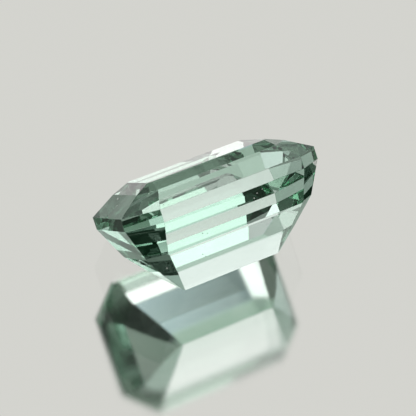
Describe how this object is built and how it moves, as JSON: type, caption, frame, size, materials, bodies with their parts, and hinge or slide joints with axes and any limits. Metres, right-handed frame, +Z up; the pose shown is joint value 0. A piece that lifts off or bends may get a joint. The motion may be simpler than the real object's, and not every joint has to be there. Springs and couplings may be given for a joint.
{
  "type": "cut tourmaline gemstone",
  "caption": "Clear pale green tourmaline cut as an elongated step-cut octagon with a polished girdle, lying on a pavilion facet.",
  "frame": {"origin": "bottom centre of the stone's bounding box, on the surface that the stone lies on", "axes": "+X along the stone's long axis, +Z up; the table faces up and away, towards +Y, and the keel points towards -Y"},
  "size_m": [0.01, 0.0058, 0.0057],
  "materials": {
    "tourmaline": "clear polished facets"
  },
  "bodies": {
    "root": {"tourmaline_stone": "tourmaline"}
  },
  "joints": []
}
